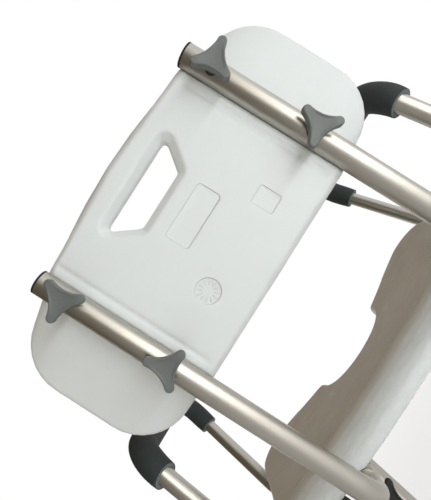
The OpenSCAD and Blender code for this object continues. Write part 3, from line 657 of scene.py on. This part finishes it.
def make_knobs():
    turns = {"upper_left": 6, "upper_right": 68, "lower_left": 43, "lower_right": 12}
    knob_seat, boss_r, boss_end = 0.019, 0.0063, -0.0085
    for name, turn in turns.items():
        row, side = name.split("_")
        place = back_place(side, KNOB_HEIGHTS[row]) @ Matrix.Translation((0, 0, knob_seat))
        place = place @ Matrix.Rotation(math.radians(turn), 4, "Z")
        boss = (boss_r, boss_end - knob_seat)
        mesh = knob_mesh("knob_" + name, BACK_KNOB_R, KNOB_THICK, place, boss)
        body = "back_knob_" + name
        piece("lobed_knob_" + name, mesh, LOOKS["grey_plastic"], body, "grey_plastic", body)
    leg_seat = 0.0175
    for end in ENDS:
        for side in SIDES:
            name = end + "_" + side
            place = leg_place(side, end, LEG_KNOB_DROP) @ Matrix.Translation((0, 0, leg_seat))
            place = place @ Matrix.Rotation(math.radians(90 + 15 * SIDES[side]), 4, "Z")
            body = "leg_knob_" + name
            mesh = knob_mesh(body, LEG_KNOB_R, KNOB_THICK, place)
            piece("lobed_" + body, mesh, LOOKS["black_plastic"], body, "black_plastic", body)


# Lights, floor and background
def area_light(name, place, target, size, power, colour, matt=True, shine=False):
    """A lamp that lights matt surfaces, or shows in mirrored light, or both."""
    data = bpy.data.lights.new(name, "AREA")
    data.shape = "RECTANGLE"
    data.size, data.size_y = size
    data.energy = power
    data.color = colour
    lamp = bpy.data.objects.new(name, data)
    aim = Vector(target) - Vector(place)
    lamp.matrix_world = Matrix.Translation(place) @ aim.to_track_quat("-Z", "Y").to_matrix().to_4x4()
    lamp.visible_camera = False
    lamp.visible_diffuse = matt
    lamp.visible_glossy = shine
    bpy.context.scene.collection.objects.link(lamp)


def seen_ray(look):
    """1 for rays that show the background: from the camera, or mirrored or let through to it."""
    rays = look.node("ShaderNodeLightPath").socket.node.outputs
    seen = [Value(look, rays[n]) for n in ("Is Camera Ray", "Is Glossy Ray", "Is Transmission Ray")]
    return seen[0].max(seen[1]).max(seen[2])


def make_world(ambient, room):
    """White to the eye, a warm room to matt surfaces, and in mirrored light white on one side only."""
    world = bpy.data.worlds.new("studio")
    bpy.context.scene.world = world
    world.use_nodes = True
    look = Nodes(world.node_tree)
    x = look.axes(look.node("ShaderNodeTexCoord", out="Generated"))[0]
    white = (1, 1, 1, 1)
    mirrored = look.blend(x.rise(-0.8, -0.15), white, room + (1,))
    glossy = look.node("ShaderNodeLightPath", out="Is Glossy Ray")
    colour = look.blend(glossy, look.blend(seen_ray(look), ambient + (1,), white), mirrored)
    back = look.node("ShaderNodeBackground", [("Color", colour), ("Strength", 1.0)])
    output = look.tree.nodes.new("ShaderNodeOutputWorld")
    look.tree.links.new(back.socket, output.inputs["Surface"])


def make_floor():
    """White to the eye, with the chair's shadow near the chair, and dimmer in mirrored light."""
    half = 6.0
    corners = [(-half, -half, 0), (half, -half, 0), (half, half, 0), (-half, half, 0)]
    mesh = bpy.data.meshes.new("floor")
    mesh.from_pydata(corners, [], [(0, 1, 2, 3)])
    look = new_look("floor")
    matt = look.node("ShaderNodeBsdfDiffuse", [("Color", (0.86, 0.86, 0.86, 1))])
    glow = look.node("ShaderNodeEmission", [("Color", (1, 1, 1, 1)), ("Strength", 1.0)])
    x, y = look.axes(look.place())[:2]
    far = (x * x + y * y).root().rise(0.5, 1.6)
    mirrored = look.node("ShaderNodeLightPath", out="Is Glossy Ray")
    dim = mirrored * (0.1 + 0.5 * x.rise(0, 0.7))
    near_share = 0.72
    share = seen_ray(look) * (near_share + (1 - near_share) * far) * (1 - dim)
    mixed = look.node("ShaderNodeMixShader", [(0, share), (1, matt), (2, glow)])
    output = look.tree.nodes.new("ShaderNodeOutputMaterial")
    look.tree.links.new(mixed.socket, output.inputs["Surface"])
    mesh.materials.append(bpy.data.materials["floor"])
    floor = bpy.data.objects.new("floor", mesh)
    bpy.context.scene.collection.objects.link(floor)


# The scene
make_camera()
bpy.context.scene.view_settings.view_transform = "Standard"
make_world(ambient=(0.28, 0.23, 0.17), room=(0.15, 0.125, 0.09))
make_floor()
area_light("key", (-0.95, 1.65, 0.45), (0, 0.15, 0.5), size=(2.6, 0.18), power=22.5,
           colour=(0.90, 1.0, 1.04))
area_light("card", (-1.0, 1.5, 0.2), (0, 0.15, 0.45), size=(2.2, 0.7), power=19,
           colour=(1.0, 0.98, 0.92), matt=False, shine=True)
area_light("rear_fill", (1.3, 1.4, 0.36), (0, 0.15, 0.5), size=(2.4, 0.18), power=5,
           colour=(0.89, 1.0, 1.05))
area_light("front_fill", (0.5, -2.3, 0.30), (0, 0, 0.40), size=(2.0, 0.2), power=34,
           colour=(0.93, 1.0, 1.05))

FOAM = foam_look("grip_foam")
PANEL = moulded_white("panel_plastic", panel_marks)
SEAT = moulded_white("seat_plastic", seat_marks, 0.18)
LOOKS = {
    "aluminium": metal("satin_aluminium", (0.50, 0.48, 0.435), 0.37, 0.0006),
    "steel": metal("zinc_steel", (0.55, 0.56, 0.58), 0.34, 0.0005),
    "brass": metal("brass", (0.70, 0.56, 0.28), 0.35, 0.0005),
    "grey_plastic": grained("knob_plastic", (0.145, 0.153, 0.149), 0.5, 0.0007, 0.00006),
    "black_plastic": grained("black_plastic", (0.018, 0.018, 0.020), 0.48, 0.0006, 0.00005),
    "rubber": grained("foot_rubber", (0.030, 0.030, 0.032), 0.7, 0.001, 0.0001),
    "foam_grip": FOAM,
    "white_plastic": SEAT,
}
for row in frame["record"]["subparts"]:
    node = frame["nodes"][row["node"]]
    node.data.materials.clear()
    node.data.materials.append(LOOKS[row["material_slot"]])

BAR = bar_tree()
piece("moulded_panel", softened("back_panel", 0.0017, 6), PANEL, "frame", "white_plastic", "back_panel")
corners = [Vector((s * CUTOUT_CORNER[0], CUTOUT_CORNER[1])) for s in SIDES.values()]
seat_mesh = round_corners(softened("seat", 0.0021, 8), corners, CUTOUT_ROUND)
piece("moulded_seat", seat_mesh, SEAT, "frame", "white_plastic", "seat")
for side in SIDES:
    make_grip(side)
    make_arm_tube(side)
    make_back_tube(side)
make_knobs()
